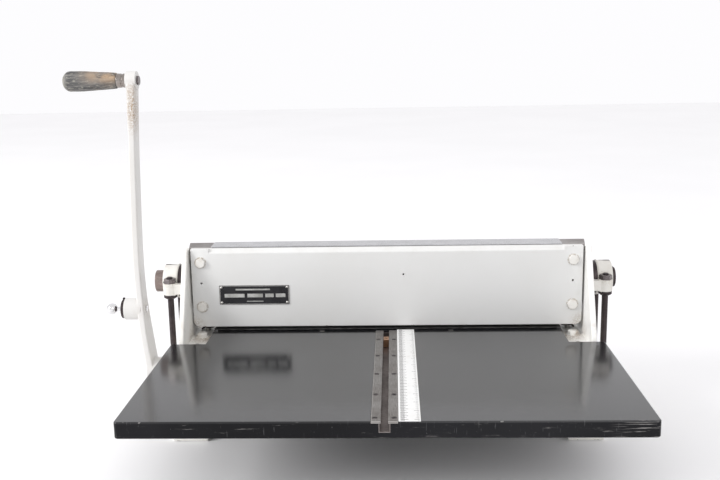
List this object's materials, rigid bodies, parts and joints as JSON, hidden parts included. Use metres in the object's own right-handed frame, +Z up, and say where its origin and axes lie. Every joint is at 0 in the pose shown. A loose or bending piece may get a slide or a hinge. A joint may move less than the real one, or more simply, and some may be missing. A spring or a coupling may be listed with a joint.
{
  "type": "lever paper punch press",
  "caption": "Bench-top hand-lever press that punches a row of round holes along the edge of paper, with a feed table, guided ram, pull rods and eccentric shaft.",
  "frame": {"origin": "on the bench plane, midway between the four bench bolts, below the eccentric shaft's axis", "axes": "+Z up, +X along the ram towards the side with no lever, +Y away from the operator (the lever stands on the -X side and the table reaches towards -Y)"},
  "size_m": [0.8079, 0.5316, 0.4948],
  "materials": {
    "cream_paint": "old off-white enamel on cast iron, slightly pitted, chipped at edges",
    "black_iron": "black painted cast iron",
    "bare_steel": "ground bare steel with brown oil film",
    "bright_steel": "bright machined steel",
    "dark_steel": "blued steel, oily",
    "black_gloss": "glossy black enamel on steel",
    "plate_print": "printed metal plate, black with bare metal border and bars",
    "spring_steel": "oiled spring wire",
    "bronze": "turned bearing bronze",
    "slider_brass": "worn brass",
    "table_black": "semi-gloss black lacquered board, worn at the front edge",
    "rule_white": "satin white scale with fine graduations",
    "plunger_chrome": "polished plated steel",
    "grip_wood": "turned hardwood, darkened by use"
  },
  "bodies": {
    "frame": {"leg_left": "cream_paint", "leg_right": "cream_paint", "base_ties": "black_iron", "shaft_bushes": "bronze", "stop_pins": "bright_steel", "die_bed": "black_iron", "bed_bolts": "black_iron", "die_plate": "bare_steel", "stripper_plate": "bare_steel", "stripper_screws": "bright_steel", "upright_left": "cream_paint", "upright_right": "cream_paint", "foot_bolts": "cream_paint", "foot_dowels": "bright_steel", "crown_bar": "bare_steel", "crown_screws": "bright_steel", "top_plate": "black_gloss", "tie_rod": "black_iron", "tie_rod_nuts": "black_iron", "return_springs": "spring_steel", "spring_pins": "bright_steel", "table_board": "table_black", "table_arms": "black_iron", "table_screws": "bright_steel", "slot_channel": "bare_steel", "slot_strips": "bare_steel", "strip_screws": "bright_steel", "scale_rule": "rule_white"},
    "slider": {"gauge_slider": "slider_brass"},
    "ram": {"ram_beam": "cream_paint", "face_plate": "cream_paint", "face_bolts": "cream_paint", "name_plate": "plate_print", "plate_rivets": "bright_steel", "punch_holder": "bare_steel", "punches": "bright_steel", "trunnion_left": "bare_steel", "trunnion_right": "bare_steel", "thrust_collars": "dark_steel", "upper_yoke_left": "cream_paint", "upper_yoke_right": "cream_paint", "yoke_cap_left": "bare_steel", "yoke_cap_right": "dark_steel", "pull_rods": "dark_steel", "rod_nuts": "dark_steel", "rod_collars": "dark_steel", "lower_yoke_left": "cream_paint", "lower_yoke_right": "cream_paint"},
    "lever": {"eccentric_shaft": "bare_steel", "eccentrics": "bare_steel", "shaft_keys": "bright_steel", "stop_collar": "bare_steel", "lever": "cream_paint", "lever_end_bolt": "bare_steel", "latch_cap": "dark_steel", "grip_spindle": "bare_steel", "plunger_spring": "spring_steel"},
    "plunger": {"plunger": "plunger_chrome"},
    "grip": {"wooden_grip": "grip_wood", "grip_ferrule": "bare_steel"}
  },
  "joints": [
    {"name": "lever_swing", "type": "hinge", "parent": "frame", "child": "lever", "pos_m": [0, 0, 0.045], "axis": [1, 0, 0], "range_deg": [0, 90]},
    {"name": "ram_press", "type": "slide", "parent": "frame", "child": "ram", "axis": [0, 0, 1], "range_m": [-0.00451, 0], "stiffness_N_per_m": 40000, "springref_m": 0.01, "deforming": ["return_springs"]},
    {"name": "grip_spin", "type": "hinge", "parent": "lever", "child": "grip", "pos_m": [-0.43, 0.03809, 0.48034], "axis": [1, 0, 0], "continuous": true},
    {"name": "plunger_pull", "type": "slide", "parent": "lever", "child": "plunger", "axis": [-1, 0, 0], "range_m": [0, 0.008], "stiffness_N_per_m": 1500, "springref_m": -0.003, "deforming": ["plunger_spring"]},
    {"name": "gauge_slide", "type": "slide", "parent": "frame", "child": "slider", "axis": [0, -1, 0], "range_m": [0, 0.27]}
  ],
  "couplings": [
    {"joint": "ram_press", "follows": "lever_swing", "m_per_rad": -0.0028648}
  ]
}
